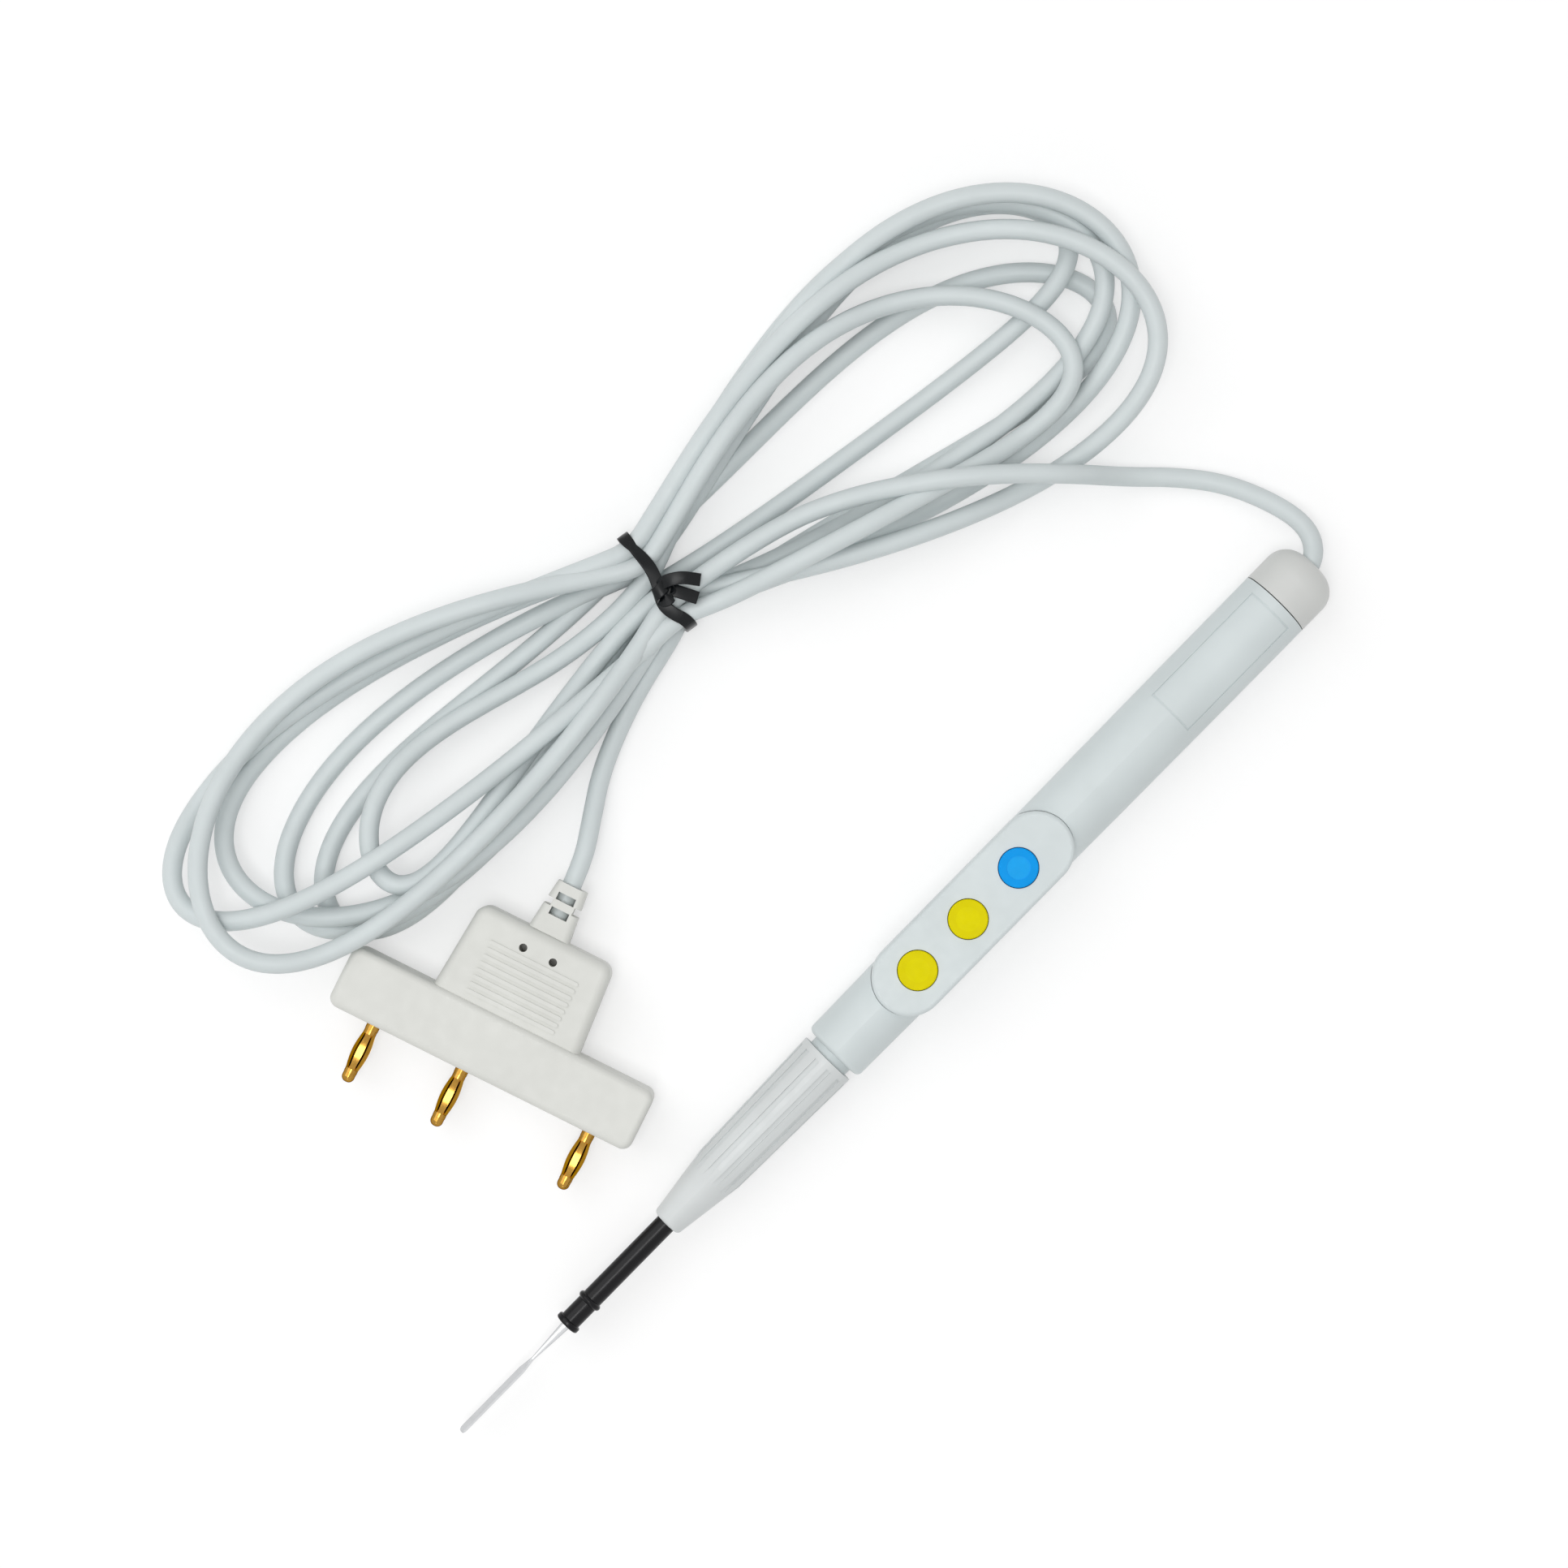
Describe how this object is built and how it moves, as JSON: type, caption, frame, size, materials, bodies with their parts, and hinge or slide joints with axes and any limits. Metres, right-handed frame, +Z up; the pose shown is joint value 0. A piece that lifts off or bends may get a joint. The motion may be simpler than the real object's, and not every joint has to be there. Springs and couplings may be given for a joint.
{
  "type": "electrosurgical pencil",
  "caption": "Slim tubular pencil with a raised button panel, ribbed twist nose and blade electrode, on a tied hank of cord that ends in a bar plug with lantern pins.",
  "frame": {"origin": "on the surface that the pencil lies on, under the middle of its length", "axes": "+X along the pencil from the blade to the end cap, +Z up through the buttons, the hank and the plug lie at +Y"},
  "size_m": [0.2955, 0.154, 0.0184],
  "materials": {
    "handle_plastic": "fine satin moulding, pale cool grey",
    "nose_plastic": "satin moulding, pale grey",
    "cap_plastic": "satin moulding, warm grey",
    "yellow_button": "smooth",
    "blue_button": "smooth",
    "switch_plastic": "moulded",
    "board_laminate": "lacquered laminate",
    "inner_plastic": "moulded",
    "contact_brass": "turned",
    "seal_rubber": "smooth",
    "blade_steel": "polished stainless",
    "sleeve_plastic": "glossy black",
    "clamp_metal": "crimped",
    "lead_red": "smooth insulation",
    "lead_yellow": "smooth insulation",
    "lead_blue": "smooth insulation",
    "cord_silicone": "satin silicone, pale cool grey",
    "tie_plastic": "plastic over wire",
    "plug_plastic": "fine satin moulding, warm off-white",
    "pin_gilt": "gilt"
  },
  "bodies": {
    "handle": {"handle_shell": "handle_plastic", "button_panel": "handle_plastic", "switch_front": "switch_plastic", "switch_middle": "switch_plastic", "switch_rear": "switch_plastic", "switch_board": "board_laminate", "board_carrier": "inner_plastic", "contact_socket": "contact_brass", "collet": "contact_brass", "nose_seal": "seal_rubber", "end_cap": "cap_plastic", "cap_seal": "seal_rubber", "cable_clamp": "clamp_metal", "lead_active": "lead_red", "lead_cut": "lead_yellow", "lead_coag": "lead_blue", "cord_pencil_run": "cord_silicone", "cord_hank": "cord_silicone", "cord_plug_run": "cord_silicone", "hank_tie": "tie_plastic", "plug_housing": "plug_plastic", "plug_boot": "plug_plastic", "pin_core_left": "pin_gilt", "pin_core_middle": "pin_gilt", "pin_core_right": "pin_gilt", "pin_spring_left": "pin_gilt", "pin_spring_middle": "pin_gilt", "pin_spring_right": "pin_gilt"},
    "front_button": {"button_front": "yellow_button"},
    "middle_button": {"button_middle": "yellow_button"},
    "rear_button": {"button_rear": "blue_button"},
    "nose": {"chuck_nose": "nose_plastic"},
    "electrode": {"electrode_blade": "blade_steel", "electrode_sleeve": "sleeve_plastic"}
  },
  "joints": [
    {"name": "front_button_press", "type": "slide", "parent": "handle", "child": "front_button", "axis": [0, 0, -1], "range_m": [0, 0.0006], "stiffness_N_per_m": 1500, "springref_m": -0.0004},
    {"name": "middle_button_press", "type": "slide", "parent": "handle", "child": "middle_button", "axis": [0, 0, -1], "range_m": [0, 0.0006], "stiffness_N_per_m": 1500, "springref_m": -0.0004},
    {"name": "rear_button_press", "type": "slide", "parent": "handle", "child": "rear_button", "axis": [0, 0, -1], "range_m": [0, 0.0006], "stiffness_N_per_m": 1500, "springref_m": -0.0004},
    {"name": "nose_twist", "type": "hinge", "parent": "handle", "child": "nose", "pos_m": [-0.04, 0, 0.0085], "axis": [1, 0, 0], "range_deg": [0, 180]},
    {"name": "electrode_pull", "type": "slide", "parent": "handle", "child": "electrode", "axis": [-1, 0, 0], "range_m": [0, 0.025]}
  ]
}
